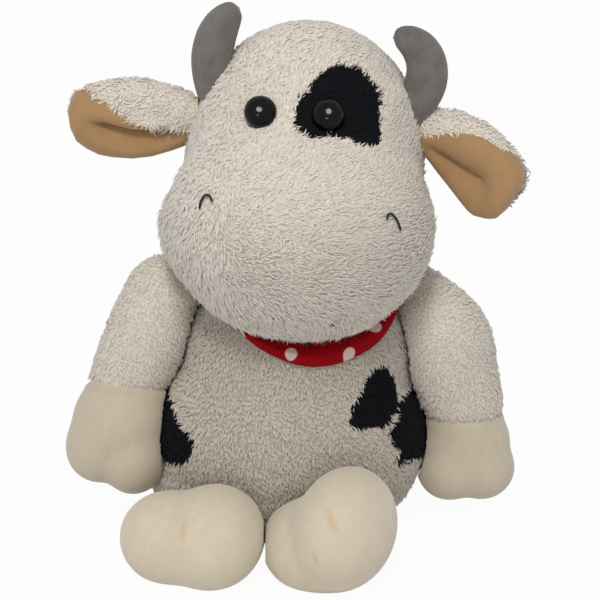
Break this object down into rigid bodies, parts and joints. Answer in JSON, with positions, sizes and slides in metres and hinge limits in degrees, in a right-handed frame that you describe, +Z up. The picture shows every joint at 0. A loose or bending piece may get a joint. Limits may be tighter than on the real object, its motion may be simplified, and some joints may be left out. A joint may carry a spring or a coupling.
{
  "type": "plush toy",
  "caption": "Seated plush cow with a big soft head, curled horns, rolled ears, a dark eye patch and a dotted neckerchief; head, ears, arms, legs and tail turn at their seams",
  "frame": {"origin": "on the surface that the toy sits on, under the middle of the torso's flat underside", "axes": "+Z up, the cow faces -Y, +X is the cow's own left"},
  "size_m": [0.1975, 0.1922, 0.2275],
  "materials": {
    "cream_pile": "looped cotton pile, matt",
    "black_pile": "looped cotton pile, matt",
    "cream_velour": "short-napped velour, matt",
    "tan_velour": "short-napped velour, matt",
    "grey_suede": "suede cloth, matt",
    "red_cotton": "woven cotton with woven-in white dots, matt",
    "black_thread": "embroidery thread, slight sheen",
    "stuffing": "loose polyester fibre",
    "pellet_cloth": "plain woven bag with pellets",
    "eye_plastic": "glossy black",
    "washer_plastic": "plain moulded plastic"
  },
  "bodies": {
    "torso": {"torso_cover": "cream_pile", "torso_stuffing": "stuffing", "pellet_bag": "pellet_cloth", "left_chest_patch": "black_pile", "left_flank_patch": "black_pile", "right_flank_patch": "black_pile", "kerchief": "red_cotton"},
    "head": {"head_cover": "cream_pile", "eye_patch": "black_pile", "head_stuffing": "stuffing", "mouth_stitch": "black_thread", "right_eye": "eye_plastic", "right_eye_washer": "washer_plastic", "right_nostril_stitch": "black_thread", "right_horn": "grey_suede", "left_eye": "eye_plastic", "left_eye_washer": "washer_plastic", "left_nostril_stitch": "black_thread", "left_horn": "grey_suede"},
    "right_ear": {"right_ear_back": "cream_pile", "right_ear_lining": "tan_velour"},
    "left_ear": {"left_ear_back": "cream_pile", "left_ear_lining": "tan_velour"},
    "right_arm": {"right_sleeve": "cream_pile", "right_hand": "cream_velour", "right_arm_stuffing": "stuffing"},
    "left_arm": {"left_sleeve": "cream_pile", "left_hand": "cream_velour", "left_arm_stuffing": "stuffing"},
    "right_leg": {"right_foot": "cream_velour", "right_foot_stuffing": "stuffing"},
    "left_leg": {"left_foot": "cream_velour", "left_foot_stuffing": "stuffing"},
    "tail": {"tail_cord": "cream_pile", "tail_tuft": "black_pile"}
  },
  "joints": [
    {"name": "head_nod", "type": "hinge", "parent": "torso", "child": "head", "pos_m": [0.002, 0.009, 0.11], "axis": [-1, 0, 0], "range_deg": [0, 18]},
    {"name": "right_ear_flop", "type": "hinge", "parent": "head", "child": "right_ear", "pos_m": [-0.03708, 0.004, 0.17967], "axis": [0, 1, 0], "range_deg": [-12, 12], "stiffness_Nm_per_rad": 0.08},
    {"name": "left_ear_flop", "type": "hinge", "parent": "head", "child": "left_ear", "pos_m": [0.05276, 0.004, 0.17382], "axis": [0, -1, 0], "range_deg": [-12, 12], "stiffness_Nm_per_rad": 0.08},
    {"name": "right_arm_raise", "type": "hinge", "parent": "torso", "child": "right_arm", "pos_m": [-0.053, 0.004, 0.102], "axis": [0, 1, 0], "range_deg": [0, 55]},
    {"name": "left_arm_raise", "type": "hinge", "parent": "torso", "child": "left_arm", "pos_m": [0.059, 0.004, 0.102], "axis": [0, -1, 0], "range_deg": [0, 55]},
    {"name": "right_leg_lift", "type": "hinge", "parent": "torso", "child": "right_leg", "pos_m": [-0.028, -0.024, 0.0215], "axis": [-1, 0, 0], "range_deg": [0, 18]},
    {"name": "left_leg_lift", "type": "hinge", "parent": "torso", "child": "left_leg", "pos_m": [0.026, -0.024, 0.0215], "axis": [-1, 0, 0], "range_deg": [0, 18]},
    {"name": "tail_lift", "type": "hinge", "parent": "torso", "child": "tail", "pos_m": [0.001, 0.0474, 0.02459], "axis": [1, 0, 0], "range_deg": [0, 40]}
  ]
}
